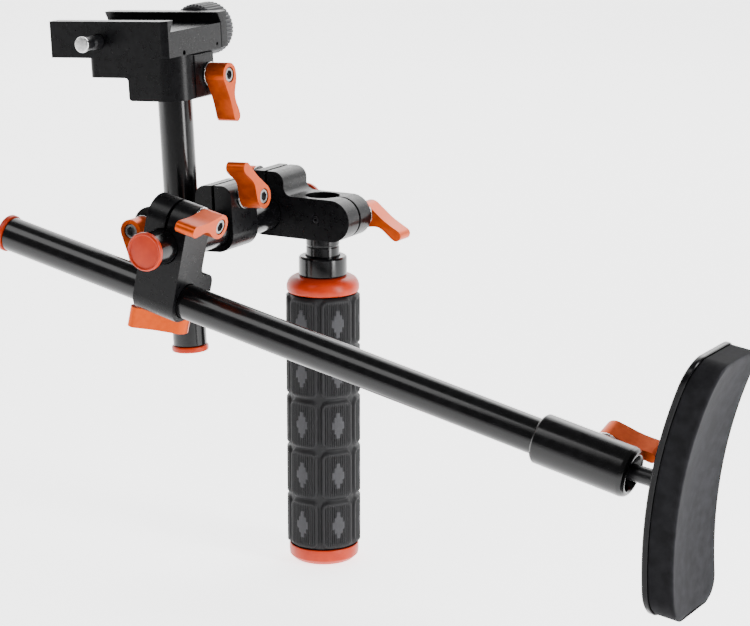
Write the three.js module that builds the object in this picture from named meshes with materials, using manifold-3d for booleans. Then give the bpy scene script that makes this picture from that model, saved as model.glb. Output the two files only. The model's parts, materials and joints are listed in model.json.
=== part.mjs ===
// Shoulder camera rig: a pistol grip, a cross rod, three identical two-way rod clamps,
// a mast with a quick-release camera plate and a chest rod with a ball-jointed pad.
// Millimetres, +Z up. The origin is the centre of the flat underside of the grip, the
// grip's axis is Z, the cross rod runs along Y and the clamps reach out along X.
import * as THREE from 'three';
import { mergeVertices } from 'three/addons/utils/BufferGeometryUtils.js';
import Module from 'manifold-3d';

const wasm = await Module();
wasm.setup();

// ---------- driving dimensions ----------
const GAP = 0.3;            // clearance between pieces that touch or fit into each other
const ROUND = 20;           // facets round a rod or a bore
const FINE = 12;            // facets round a small piece
const HOLE = 10;            // facets round a screw hole
const PAST = 1;             // how far a cutting tool runs past the face that it cuts

const ROD = { radius: 7.5, wall: 1.5 };
const BORE = ROD.radius + GAP;

// two-way rod clamp: bore A along Y at its origin, bore B along Z beside it
const CLAMP = {
  spacing: 2 * BORE + 7.8,  // between the axes of the two bores
  width: 2 * BORE + 4.8,    // along bore A
  armTop: BORE + 0.9,       // faces of the long arm, above and below bore A's axis
  armBottom: -BORE - 2.2,
  earHalf: BORE + 1.4,      // half the width of the pinch ear over bore A
  screw: BORE + 5.9,        // pinch screws, from the axis of the bore that they close
  earEnd: BORE + 11.4,      // end of each ear, from the axis of its bore
  slit: 1.4,
  corner: 5,
  fillet: 4,
};
// the hole of a pinch screw is blind: its skin is the metal left at the far face
const SCREW = { radius: 2, headRadius: 3.1, headHeight: 3.6, hex: 1.7, hexDepth: 2.4, skin: 2.2 };
const SCREW_HOLE = SCREW.radius + 0.4;
const SET_SCREW = { radius: 1.5, length: CLAMP.width / 2 - BORE - GAP, offset: 2.2 };
const WASHER = { radius: 5.6, thickness: 0.8 };
const LEVER = { hub: 5.25, height: 9.2, reach: 19, tip: 2.5, waist: 2.2, seat: 4.2, lean: 15 };

// grip, from the bottom: end cap, sleeve on its core, ring, nut, then a bare neck of stub
const GRIP = {
  capHeight: 7.3, capChamfer: 3, capPlug: 9, sleeveLength: 117.1, ringHeight: 7.4, nutHeight: 8.7,
  neck: 8.6, coreRadius: BORE + 4.5, coreWall: 2.3, sleeveWall: 4.4, capInset: 0.8,
  ringInset: 0.2, nutWall: 3.05, nutEdge: 0.6, socketDepth: 12, shelf: 3, stubTop: 3,
};
const SLEEVE = { rows: 5, groove: 2, grooveDepth: 1.3, radius: GRIP.coreRadius + GRIP.sleeveWall };
const GRIP_BOLT = { radius: 3, head: 5, headHeight: 6, hex: 2.5, hexDepth: 3, reach: 18 };
const GRIP_LEVELS = (() => {
  const sleeve = GRIP.capHeight + GAP;
  const ring = sleeve + GRIP.sleeveLength + GAP;
  const nut = ring + GRIP.ringHeight + GAP;
  return { sleeve, ring, nut, nutTop: nut + GRIP.nutHeight };
})();

// cross rod, and where the clamps of the grip, the mast and the chest rod sit along it
const CROSS = { front: -105.3, back: 24, height: GRIP_LEVELS.nutTop + GRIP.neck - CLAMP.armBottom };
const GRIP_CLAMP_Y = 0;
const MAST_CLAMP_Y = -42.5;
const ROD_CLAMP_Y = -84;
const CAP = { flange: 0.7, thickness: 3, plug: 6, edge: 1 };

// the camera end's heights are taken from the mast's own axis, up from the cross rod
const MAST = { tilt: -3.05, top: 71, bottom: -54.5 };
const PLATE_CLAMP = {
  left: -37, right: BORE + 3.7, front: -BORE - 3.2, back: 15, corner: 3, chamfer: 1.5,
  bottom: MAST.top - 15.7, step: MAST.top - 5.7, top: MAST.top + 4, stepX: -BORE - 8.7,
  screwY: 11, screwZ: MAST.top - 6.2,
};
const BASE = {
  left: -48, right: 12, front: -22.5, back: 21.4, floor: PLATE_CLAMP.top + 11.4,
  wallTop: PLATE_CLAMP.top + 16.2, frontWall: 4.2, undercut: 2.4, chamfer: 2.4,
};
const BASE_SCREWS = [-31, -21];
const BASE_SCREW = { radius: 2, hole: 2.3, head: 3.4, headHeight: 2.4, sunk: 1 };
const JAW = { inner: BASE.back + 0.2, outer: BASE.back + 5.6, lip: 2.6 };
const KNOB = {
  x: -6, z: PLATE_CLAMP.top + 7, radius: 11.8, length: 15.5, cover: 4, ribs: 20, rib: 0.5,
  spindle: 2.5, spindleDepth: 9,
};
const PIN = {
  x: -23, z: PLATE_CLAMP.top + 7.5, radius: 3.1, waist: 2.5, reach: 10.6, head: 3.5, headLength: 1.6,
  depth: 3,
};

// chest rod, from its own clamp: the collar, ball and pad follow from where the rod ends
const CHEST = { tilt: 12.6, start: -82.5, end: 196 };
const COLLAR = {
  start: CHEST.end - 14.7, end: CHEST.end + 27, radius: BORE + 2.6, corner: 2.5, edge: 0.8,
  screwX: CHEST.end + 9.6, screwTurn: 20, flatDepth: 0.8, flatHalf: 7, screwDepth: 5,
};
const BALL = {
  x: CHEST.end + 18, radius: 6.8, stem: 3.5, mouth: 5.8, mouthAt: 4, flare: 7.8, boss: 6.5,
  bossLength: 2.5,
};
const PAD = {
  reach: 24, lean: 8.7, rise: 4.5, height: 107, width: 45, plate: 2.6, foam: 10.4, bend: 205,
  corner: 11, foamInset: 0.6,
};
const PAD_SCREW = { radius: 2.3, hole: 2.6, head: 4.5, headHeight: 2.3, length: 7.5, room: 5 };

const DEG = Math.PI / 180;
const X = new THREE.Vector3(1, 0, 0);
const Y = new THREE.Vector3(0, 1, 0);
const Z = new THREE.Vector3(0, 0, 1);

// ---------- materials ----------
const paint = (color, roughness, metalness) =>
  new THREE.MeshStandardMaterial({ color, roughness, metalness });
const ANODISED = paint(0x18181a, 0.42, 0.6);
const GLOSS = paint(0x0e0e10, 0.22, 0.7);
const ORANGE_METAL = paint(0xe8662f, 0.35, 0.5);
const ORANGE_PLASTIC = paint(0xe04e24, 0.4, 0);
const STEEL = paint(0xc8c8c8, 0.25, 1);
const BLACK_STEEL = paint(0x101010, 0.35, 0.8);
const RUBBER = paint(0x37373a, 0.85, 0);
const FOAM = paint(0x45454a, 0.95, 0);
const PLASTIC = paint(0x121214, 0.3, 0);

// ---------- solids ----------
// A closed three.js geometry as a solid, with its shared vertices merged and faces outward.
function solid(geometry) {
  const bare = new THREE.BufferGeometry();
  bare.setAttribute('position', geometry.getAttribute('position').clone());
  if (geometry.index) bare.setIndex(geometry.index.clone());
  const merged = mergeVertices(bare, 1e-4);
  const points = Float32Array.from(merged.getAttribute('position').array);
  const corner = (i) => new THREE.Vector3().fromArray(points, 3 * i);
  const faces = [];
  let volume = 0;
  for (let i = 0; i < merged.index.count; i += 3) {
    const [a, b, c] = [0, 1, 2].map((k) => merged.index.getX(i + k));
    if (a === b || b === c || c === a) continue;
    faces.push([a, b, c]);
    volume += corner(a).dot(corner(b).cross(corner(c)));
  }
  const outward = faces.flatMap(([a, b, c]) => (volume < 0 ? [a, c, b] : [a, b, c]));
  const triVerts = Uint32Array.from(outward);
  return new wasm.Manifold(new wasm.Mesh({ numProp: 3, vertProperties: points, triVerts }));
}

function toGeometry(manifold) {
  const mesh = manifold.getMesh();
  const geometry = new THREE.BufferGeometry();
  geometry.setAttribute('position', new THREE.BufferAttribute(mesh.vertProperties, 3));
  geometry.setIndex(new THREE.BufferAttribute(mesh.triVerts, 1));
  geometry.computeVertexNormals();
  return geometry;
}

const cut = (body, ...tools) => tools.reduce((left, tool) => left.subtract(tool), body);
const join = (...bodies) => bodies.reduce((all, body) => all.add(body));

// Turns a geometry made along Z to point along another axis, then moves it.
function along(geometry, axis, x = 0, y = 0, z = 0) {
  const turn = new THREE.Quaternion().setFromUnitVectors(Z, axis);
  return geometry.applyQuaternion(turn).translate(x, y, z);
}

// A turned piece: [radius, z] points revolved about Z.
function turned(profile, facets = ROUND) {
  const points = profile.map(([r, z]) => new THREE.Vector2(r, z));
  return new THREE.LatheGeometry(points, facets).rotateX(Math.PI / 2);
}

const disc = (radius, from, to, facets = ROUND) =>
  turned([[0, from], [radius, from], [radius, to], [0, to]], facets);

const ring = (inner, outer, from, to, facets = ROUND) =>
  turned([[inner, from], [outer, from], [outer, to], [inner, to], [inner, from]], facets);

function box(x0, x1, y0, y1, z0, z1) {
  const geometry = new THREE.BoxGeometry(x1 - x0, y1 - y0, z1 - z0);
  return geometry.translate((x0 + x1) / 2, (y0 + y1) / 2, (z0 + z1) / 2);
}

// Extrudes an outline drawn in X and Z along Y, from y0 to y1.
function slab(shape, y0, y1, curveSegments = 8) {
  const geometry = new THREE.ExtrudeGeometry(shape, {
    depth: y1 - y0, bevelEnabled: false, curveSegments,
  });
  return geometry.rotateX(Math.PI / 2).translate(0, y1, 0);
}

function mesh(name, manifold, material) {
  const piece = new THREE.Mesh(toGeometry(manifold), material);
  piece.name = name;
  return piece;
}

// Places a group so that its local X, Y and Z point along the given directions.
function frame(parent, origin, xAxis, yAxis, zAxis) {
  const group = new THREE.Group();
  group.position.copy(origin);
  group.quaternion.setFromRotationMatrix(new THREE.Matrix4().makeBasis(xAxis, yAxis, zAxis));
  parent.add(group);
  return group;
}

// ---------- pinch lever, its screw and its washer ----------
// Local Z is the screw's axis pointing out of the clamp, from the seat at zero, and the
// wing reaches along local X.
function leverOutline() {
  const { hub, reach, tip, waist } = LEVER;
  const shape = new THREE.Shape();
  const lean = LEVER.lean * DEG;
  const tipY = -waist / 2;
  shape.moveTo(hub * Math.sin(lean), hub * Math.cos(lean));
  shape.bezierCurveTo(hub * 1.3, hub * 0.75, reach * 0.42, waist * 0.25, reach * 0.7, waist * 0.4);
  shape.bezierCurveTo(reach * 0.82, waist * 0.5, reach * 0.9, tipY + tip, reach, tipY + tip);
  shape.absarc(reach, tipY, tip, Math.PI / 2, -Math.PI / 2, true);
  shape.bezierCurveTo(reach * 0.75, tipY - tip, reach * 0.6, -hub * 0.62, hub * 1.2, -hub * 0.82);
  shape.lineTo(hub * Math.sin(lean), -hub * Math.cos(lean));
  shape.absarc(0, 0, hub, -Math.PI / 2 + lean, Math.PI / 2 - lean, true);
  return shape;
}

function leverSolid() {
  const wing = new THREE.ExtrudeGeometry(leverOutline(), {
    depth: LEVER.height, bevelEnabled: false, curveSegments: 4,
  });
  const hole = disc(SCREW.radius + GAP, -PAST, LEVER.height + PAST, HOLE);
  const seat = disc(SCREW.headRadius + GAP, LEVER.height - LEVER.seat, LEVER.height + PAST, HOLE);
  return cut(solid(wing), solid(hole), solid(seat));
}

// A socket-head screw whose shank runs from its head down to the given depth.
function screwSolid(headTop, depth) {
  const under = headTop - SCREW.headHeight;
  const profile = [
    [0, -depth], [SCREW.radius, -depth], [SCREW.radius, under],
    [SCREW.headRadius, under], [SCREW.headRadius, headTop], [0, headTop],
  ];
  const socket = new THREE.CylinderGeometry(SCREW.hex, SCREW.hex, SCREW.hexDepth * 2, 6);
  socket.rotateX(Math.PI / 2).translate(0, 0, headTop);
  return cut(solid(turned(profile, HOLE)), solid(socket));
}

const LEVER_BASE = 2 * GAP + WASHER.thickness;
const LEVER_SOLID = leverSolid();

// Adds NAME_lever, NAME_screw and NAME_washer at a seat, given the outward direction and the
// direction that the wing points in.
function pinchLever(parent, name, seat, out, arm, depth) {
  const side = new THREE.Vector3().crossVectors(out, arm).normalize();
  const wing = new THREE.Vector3().crossVectors(side, out).normalize();
  const group = frame(parent, seat, wing, side, out);
  const washer = ring(SCREW.radius + GAP, WASHER.radius, GAP, GAP + WASHER.thickness, FINE);
  group.add(mesh(`${name}_washer`, solid(washer), STEEL));
  const lever = mesh(`${name}_lever`, LEVER_SOLID, ORANGE_METAL);
  lever.position.z = LEVER_BASE;
  group.add(lever);
  const headTop = LEVER_BASE + LEVER.height - LEVER.seat + GAP + SCREW.headHeight;
  group.add(mesh(`${name}_screw`, screwSolid(headTop, depth), STEEL));
}

// ---------- two-way rod clamp ----------
function clampOutline() {
  const { spacing, armTop, armBottom, earHalf, earEnd, corner, fillet } = CLAMP;
  const nose = (armTop - armBottom) / 2;
  const noseX = spacing + earEnd - nose;
  const belly = earHalf * 0.87;
  const shape = new THREE.Shape();
  shape.moveTo(-earHalf, armBottom + belly);
  shape.lineTo(-earHalf, earEnd - corner);
  shape.absarc(corner - earHalf, earEnd - corner, corner, Math.PI, Math.PI / 2, true);
  shape.lineTo(earHalf - corner, earEnd);
  shape.absarc(earHalf - corner, earEnd - corner, corner, Math.PI / 2, 0, true);
  shape.lineTo(earHalf, armTop + fillet);
  shape.absarc(earHalf + fillet, armTop + fillet, fillet, Math.PI, 1.5 * Math.PI, false);
  shape.lineTo(noseX, armTop);
  shape.absarc(noseX, armTop - nose, nose, Math.PI / 2, -Math.PI / 2, true);
  shape.lineTo(belly - earHalf, armBottom);
  shape.absarc(belly - earHalf, armBottom + belly, belly, -Math.PI / 2, -Math.PI, true);
  return shape;
}

const CLAMP_MIDDLE = (CLAMP.armTop + CLAMP.armBottom) / 2;
const SET_SCREW_X = CLAMP.spacing + SET_SCREW.offset;

function clampSolid() {
  const { spacing, width, armTop, armBottom, earHalf, screw, earEnd, slit } = CLAMP;
  const half = width / 2;
  const body = slab(clampOutline(), -half, half, 5);
  const [side, low, high] = [half + PAST, armBottom - PAST, armTop + PAST];
  const boreA = along(disc(BORE, -side, side), Y);
  const boreB = disc(BORE, low, high).translate(spacing, 0, 0);
  const slitA = box(-slit / 2, slit / 2, -side, side, 0, earEnd + PAST);
  const slitB = box(spacing, spacing + earEnd + PAST, -slit / 2, slit / 2, low, high);
  const holeA = along(disc(SCREW_HOLE, -earHalf - PAST, earHalf - SCREW.skin, HOLE), X, 0, 0, screw);
  const holeB = along(disc(SCREW_HOLE, SCREW.skin - half, side, HOLE), Y,
    spacing + screw, 0, CLAMP_MIDDLE);
  const tapped = along(disc(SET_SCREW.radius + GAP, -side, 0, HOLE), Y, SET_SCREW_X, 0, CLAMP_MIDDLE);
  const tools = [boreA, boreB, slitA, slitB, holeA, holeB, tapped].map(solid);
  return cut(solid(body), ...tools);
}

const CLAMP_SOLID = clampSolid();

// Adds a clamp with its set screw and both pinch levers. The levers' wings are given by
// their directions in the clamp's own frame.
function rodClamp(group, name, leverAArm, leverBArm) {
  const half = CLAMP.width / 2;
  group.add(mesh(`${name}_body`, CLAMP_SOLID, ANODISED));
  const grub = along(disc(SET_SCREW.radius, 0, SET_SCREW.length, HOLE), Y,
    SET_SCREW_X, -half, CLAMP_MIDDLE);
  group.add(mesh(`${name}_set_screw`, solid(grub), BLACK_STEEL));
  const seatA = new THREE.Vector3(-CLAMP.earHalf, 0, CLAMP.screw);
  const depthA = 2 * CLAMP.earHalf - SCREW.skin - GAP;
  pinchLever(group, `${name}_a`, seatA, X.clone().negate(), leverAArm, depthA);
  const seatB = new THREE.Vector3(CLAMP.spacing + CLAMP.screw, half, CLAMP_MIDDLE);
  pinchLever(group, `${name}_b`, seatB, Y, leverBArm, CLAMP.width - SCREW.skin - GAP);
}

// ---------- rod tube and its end cap ----------
const tube = (from, to) => ring(ROD.radius - ROD.wall, ROD.radius, from, to);

// A plastic end cap whose flange sits against the rod's end at zero and faces along Z.
function capSolid() {
  const { thickness, plug, edge } = CAP;
  const neck = ROD.radius - ROD.wall - GAP;
  const radius = ROD.radius + CAP.flange;
  return solid(turned([
    [0, -plug], [neck, -plug], [neck, GAP], [radius, GAP],
    [radius, thickness - edge], [radius - edge, thickness], [0, thickness],
  ], FINE));
}

const CAP_SOLID = capSolid();

function endCap(parent, name, at, out) {
  const cap = mesh(name, CAP_SOLID, ORANGE_PLASTIC);
  cap.position.copy(at);
  cap.quaternion.setFromUnitVectors(Z, out);
  parent.add(cap);
}

// ---------- grip ----------
function buildGrip(rig) {
  const { sleeve, ring: ringZ, nut, nutTop } = GRIP_LEVELS;
  const add = (name, body, material) => rig.add(mesh(name, body, material));
  const inner = GRIP.coreRadius - GRIP.coreWall;
  const plug = inner - GAP;

  const capRadius = SLEEVE.radius - GRIP.capInset;
  const { capChamfer, capHeight, capPlug } = GRIP;
  add('grip_end_cap', solid(turned([
    [0, 0], [capRadius - capChamfer, 0], [capRadius, capChamfer], [capRadius, capHeight],
    [plug, capHeight], [plug, capHeight + capPlug], [0, capHeight + capPlug],
  ])), ORANGE_PLASTIC);

  // the core's top is a socket for the stub, closed by a shelf that the bolt pulls on
  const coreTop = ringZ - GAP;
  const shelf = coreTop - GRIP.socketDepth;
  const shelfTop = shelf + GRIP.shelf;
  const boltHole = GRIP_BOLT.radius + 2 * GAP;
  add('grip_core', solid(turned([
    [inner, sleeve], [GRIP.coreRadius, sleeve], [GRIP.coreRadius, coreTop], [BORE, coreTop],
    [BORE, shelfTop], [boltHole, shelfTop], [boltHole, shelf], [inner, shelf], [inner, sleeve],
  ])), ANODISED);

  const stubTop = CROSS.height + GRIP.stubTop;
  const stubBottom = shelfTop + GAP;
  const thread = GRIP_BOLT.radius + GAP;
  const threadEnd = stubBottom + GRIP_BOLT.reach + 2;
  add('grip_stub', solid(turned([
    [0, stubTop], [ROD.radius, stubTop], [ROD.radius, stubBottom], [thread, stubBottom],
    [thread, threadEnd], [0, threadEnd],
  ])), GLOSS);

  const { radius, head, headHeight, hex, hexDepth, reach } = GRIP_BOLT;
  const under = shelf - GAP;
  const socket = new THREE.CylinderGeometry(hex, hex, 2 * hexDepth, 6).rotateX(Math.PI / 2);
  const bolt = solid(turned([
    [0, under - headHeight], [head, under - headHeight], [head, under], [radius, under],
    [radius, stubBottom + reach], [0, stubBottom + reach],
  ], HOLE));
  add('grip_bolt', cut(bolt, solid(socket.translate(0, 0, under - headHeight))), BLACK_STEEL);

  add('grip_sleeve', sleeveSolid(sleeve), RUBBER);

  // the ring bulges out low down and rounds over to its top
  const ringRadius = SLEEVE.radius - GRIP.ringInset;
  const bulge = [[0.6, 0], [0, 0.14], [0, 0.46], [1, 0.78], [3, 0.96], [4.6, 1]];
  const outside = bulge.map(([inset, up]) => [ringRadius - inset, ringZ + up * GRIP.ringHeight]);
  add('grip_ring', solid(turned([
    [BORE, ringZ], ...outside, [BORE, ringZ + GRIP.ringHeight], [BORE, ringZ],
  ])), ORANGE_PLASTIC);

  const nutRadius = BORE + GRIP.nutWall;
  add('grip_nut', solid(turned([
    [BORE, nut], [nutRadius, nut], [nutRadius, nutTop - GRIP.nutEdge],
    [nutRadius - GRIP.nutEdge, nutTop], [BORE, nutTop], [BORE, nut],
  ])), GLOSS);
}

// The rubber sleeve: a ring of pads parted by a moulded groove between each two rows.
function sleeveSolid(bottom) {
  const { radius, rows, groove, grooveDepth } = SLEEVE;
  const bore = GRIP.coreRadius + GAP;
  const top = bottom + GRIP.sleeveLength;
  const profile = [[bore, bottom], [radius, bottom]];
  for (let row = 1; row < rows; row += 1) {
    const z = bottom + (row * GRIP.sleeveLength) / rows;
    profile.push([radius, z - groove / 2], [radius - grooveDepth, z - groove / 4]);
    profile.push([radius - grooveDepth, z + groove / 4], [radius, z + groove / 2]);
  }
  profile.push([radius, top], [bore, top], [bore, bottom]);
  return solid(turned(profile));
}

// ---------- mast, plate clamp and quick-release base ----------
// A bar over the base's whole length, with its section drawn in Y and Z.
function bar(section) {
  const shape = new THREE.Shape(section.map(([y, z]) => new THREE.Vector2(y, z)));
  const depth = BASE.right - BASE.left;
  const geometry = new THREE.ExtrudeGeometry(shape, { depth, bevelEnabled: false });
  return geometry.applyMatrix4(new THREE.Matrix4().makeBasis(Y, Z, X)).translate(BASE.left, 0, 0);
}

function plateClampSolid() {
  const { left, right, front, back, bottom, step, top, stepX, corner, chamfer } = PLATE_CLAMP;
  const side = new THREE.Shape([
    [left, top], [left, step + chamfer], [left + chamfer, step], [stepX - chamfer, step],
    [stepX, step - chamfer], [stepX, bottom + chamfer], [stepX + chamfer, bottom],
    [right, bottom], [right, top],
  ].map(([x, z]) => new THREE.Vector2(x, z)));
  const plan = new THREE.Shape();
  plan.moveTo(left, back - corner);
  plan.lineTo(left, front + corner);
  plan.absarc(left + corner, front + corner, corner, Math.PI, 1.5 * Math.PI, false);
  plan.lineTo(0, front);
  plan.absarc(0, 0, -front, -Math.PI / 2, 0, false);
  plan.lineTo(right, 0);
  plan.lineTo(right, back);
  plan.lineTo(left + corner, back);
  plan.absarc(left + corner, back - corner, corner, Math.PI / 2, Math.PI, false);
  const post = new THREE.ExtrudeGeometry(plan, {
    depth: top - bottom, bevelEnabled: false, curveSegments: 6,
  });
  const whole = solid(slab(side, front - PAST, back + PAST));
  const body = whole.intersect(solid(post.translate(0, 0, bottom)));
  const low = bottom - PAST;
  const bore = disc(BORE, low, MAST.top + GAP);
  const slit = box(-CLAMP.slit / 2, CLAMP.slit / 2, 0, back + PAST, low, MAST.top + GAP);
  const pinch = along(disc(SCREW_HOLE, stepX + SCREW.skin, right + PAST, HOLE), X, 0,
    PLATE_CLAMP.screwY, PLATE_CLAMP.screwZ);
  const bolts = BASE_SCREWS.map((x) =>
    disc(BASE_SCREW.hole, step - PAST, top + PAST, HOLE).translate(x, 0, 0));
  return cut(body, ...[bore, slit, pinch, ...bolts].map(solid));
}

const HEAD_SEAT = BASE.floor - BASE_SCREW.headHeight - BASE_SCREW.sunk;

// The base: an L-shaped block whose front wall is undercut, the fixed side of the dovetail.
function baseSolid() {
  const { right, front, wallTop, floor, frontWall, undercut, chamfer, back } = BASE;
  const underside = PLATE_CLAMP.top + GAP;
  const wall = front + frontWall;
  const block = bar([
    [front, underside], [back, underside], [back, floor], [wall, floor],
    [wall + undercut, wallTop], [front, wallTop],
  ]);
  const bevel = new THREE.Shape([
    [right - chamfer, front - PAST], [right - chamfer, front], [right, front + chamfer],
    [right + PAST, front + chamfer], [right + PAST, front - PAST],
  ].map(([x, y]) => new THREE.Vector2(x, y)));
  const edge = new THREE.ExtrudeGeometry(bevel, {
    depth: wallTop - underside + 2 * PAST, bevelEnabled: false,
  });
  const pinFrom = front - PAST;
  const pinRoom = disc(PIN.radius + GAP, pinFrom, front + PIN.depth + GAP, FINE);
  const pinHole = along(pinRoom, Y, PIN.x, 0, PIN.z);
  const spindleEnd = back - KNOB.spindleDepth - GAP;
  const spindleRoom = disc(KNOB.spindle + GAP, spindleEnd, back + PAST, HOLE);
  const spindleHole = along(spindleRoom, Y, KNOB.x, 0, KNOB.z);
  const screwHoles = BASE_SCREWS.flatMap((x) => [
    disc(BASE_SCREW.head + GAP, HEAD_SEAT, floor + PAST, HOLE).translate(x, 0, 0),
    disc(BASE_SCREW.hole, underside - PAST, floor, HOLE).translate(x, 0, 0),
  ]);
  const cuts = [edge.translate(0, 0, underside - PAST), pinHole, spindleHole, ...screwHoles];
  return cut(solid(block), ...cuts.map(solid));
}

function buildCameraPlate(mast) {
  const add = (name, body, material) => mast.add(mesh(name, body, material));
  add('plate_clamp_body', plateClampSolid(), ANODISED);
  add('plate_base', baseSolid(), ANODISED);
  const seat = HEAD_SEAT + GAP;
  const screwEnd = PLATE_CLAMP.step + PLATE_CLAMP.chamfer;
  BASE_SCREWS.forEach((x, i) => {
    const { radius, head, headHeight } = BASE_SCREW;
    const profile = [
      [0, screwEnd], [radius, screwEnd], [radius, seat], [head, seat], [head, seat + headHeight],
      [0, seat + headHeight],
    ];
    add(`plate_base_screw_${i + 1}`, solid(turned(profile, HOLE).translate(x, 0, 0)), BLACK_STEEL);
  });

  // the movable jaw closes the dovetail from behind
  const { inner, outer, lip } = JAW;
  const jaw = bar([
    [inner + GAP, PLATE_CLAMP.top + GAP], [outer, PLATE_CLAMP.top + GAP], [outer, BASE.wallTop],
    [inner - lip + GAP, BASE.wallTop], [inner + GAP, BASE.floor + GAP],
  ]);
  const jawHole = along(disc(KNOB.spindle + GAP, inner - PAST, outer + PAST, HOLE), Y, KNOB.x, 0, KNOB.z);
  add('plate_jaw', cut(solid(jaw), solid(jawHole)), ANODISED);

  add('knob', knobSolid(), RUBBER);
  const spindle = disc(KNOB.spindle, BASE.back - KNOB.spindleDepth,
    JAW.outer + GAP + KNOB.length - KNOB.cover, HOLE);
  add('knob_spindle', solid(along(spindle, Y, KNOB.x, 0, KNOB.z)), STEEL);

  // the safety pin sits in the front wall, with a waist between its two collars
  const { radius, waist, reach, depth, head, headLength } = PIN;
  const pin = turned([
    [0, -depth], [radius, -depth], [radius, reach * 0.45], [waist, reach * 0.5],
    [waist, reach * 0.6], [radius, reach * 0.65], [radius, reach], [0, reach],
  ], FINE);
  const pinHead = disc(head, reach + GAP, reach + GAP + headLength, FINE);
  const front = Y.clone().negate();
  add('safety_pin', solid(along(pin, front, PIN.x, BASE.front, PIN.z)), BLACK_STEEL);
  add('safety_pin_head', solid(along(pinHead, front, PIN.x, BASE.front, PIN.z)), STEEL);

  const leverSeat = new THREE.Vector3(PLATE_CLAMP.right, PLATE_CLAMP.screwY, PLATE_CLAMP.screwZ);
  pinchLever(mast, 'plate_clamp', leverSeat, X, new THREE.Vector3(0, 0.28, -0.96),
    PLATE_CLAMP.right - PLATE_CLAMP.stepX - SCREW.skin - GAP);
}

// The clamping knob: a ribbed rim, blind-bored for its spindle.
function knobSolid() {
  const { x, z, radius, length, cover, ribs, rib, spindle } = KNOB;
  const steps = ribs * 2;
  const rim = Array.from({ length: steps }, (_, i) => {
    const angle = (i / steps) * 2 * Math.PI;
    const r = radius - (i % 2) * rib;
    return new THREE.Vector2(r * Math.cos(angle), r * Math.sin(angle));
  });
  const disk = new THREE.ExtrudeGeometry(new THREE.Shape(rim), { depth: length, bevelEnabled: false });
  const bore = disc(spindle + GAP, -PAST, length - cover + GAP, HOLE);
  const body = cut(solid(disk), solid(bore));
  return solid(along(toGeometry(body), Y, x, JAW.outer + GAP, z));
}

function buildMast(mastClampFrame, mastFrame) {
  const leverB = new THREE.Vector3(-0.15, 0, -1);
  rodClamp(mastClampFrame, 'mast_clamp', new THREE.Vector3(0, 0.707, 0.707), leverB);
  const { top, bottom } = MAST;
  mastFrame.add(mesh('mast_rod', solid(tube(bottom, top)), GLOSS));
  endCap(mastFrame, 'mast_cap', new THREE.Vector3(0, 0, bottom), Z.clone().negate());
  buildCameraPlate(mastFrame);
}

// ---------- chest rod, ball joint and pad ----------
function collarSolid() {
  const { start, end, radius, corner, edge, flatDepth, flatHalf } = COLLAR;
  const shell = turned([
    [0, start], [radius - edge, start], [radius, start + edge], [radius, end - corner],
    [radius - edge, end - edge], [radius - corner, end], [0, end],
  ]);
  const socket = new THREE.SphereGeometry(BALL.radius + 2 * GAP, FINE, FINE / 2).translate(0, 0, BALL.x);
  const rodBore = disc(BORE, start - PAST, CHEST.end + GAP);
  const mouth = turned([
    [0, BALL.x], [BALL.mouth, BALL.x + BALL.mouthAt], [BALL.flare, end + PAST], [0, end + PAST],
  ]);
  const core = cut(solid(shell), solid(socket), solid(rodBore), solid(mouth));
  const flat = box(radius - flatDepth, radius + PAST, -radius, radius, -flatHalf, flatHalf);
  const hole = along(disc(SCREW_HOLE, 0, radius + PAST, HOLE), X);
  const turn = new THREE.Matrix4().makeRotationZ(COLLAR.screwTurn * DEG);
  const tools = [flat, hole].map((g) => solid(g.applyMatrix4(turn).translate(0, 0, COLLAR.screwX)));
  return cut(core, ...tools);
}

// A band bent about an axis along Y behind the wearer's side, cut to a rounded rectangle.
// It spans the given radii of the bend.
function bentPanel(innerRadius, outerRadius, height, width, corner) {
  const sweep = Math.asin(height / 2 / innerRadius) * 1.05;
  const band = new THREE.Shape();
  band.absarc(0, 0, outerRadius, Math.PI - sweep, Math.PI + sweep, false);
  band.absarc(0, 0, innerRadius, Math.PI + sweep, Math.PI - sweep, true);
  const bent = slab(band, -width / 2 - PAST, width / 2 + PAST, 10).translate(PAD.bend, 0, 0);
  const plan = new THREE.Shape();
  const [hw, hh] = [width / 2, height / 2];
  plan.moveTo(-hw + corner, -hh);
  plan.lineTo(hw - corner, -hh);
  plan.absarc(hw - corner, corner - hh, corner, -Math.PI / 2, 0, false);
  plan.lineTo(hw, hh - corner);
  plan.absarc(hw - corner, hh - corner, corner, 0, Math.PI / 2, false);
  plan.lineTo(corner - hw, hh);
  plan.absarc(corner - hw, hh - corner, corner, Math.PI / 2, Math.PI, false);
  plan.lineTo(-hw, corner - hh);
  plan.absarc(corner - hw, corner - hh, corner, Math.PI, 1.5 * Math.PI, false);
  const depth = width;
  const prism = new THREE.ExtrudeGeometry(plan, { depth, bevelEnabled: false, curveSegments: 5 });
  prism.applyMatrix4(new THREE.Matrix4().makeBasis(Y, Z, X)).translate(-PAST, 0, 0);
  return solid(bent).intersect(solid(prism));
}

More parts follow.
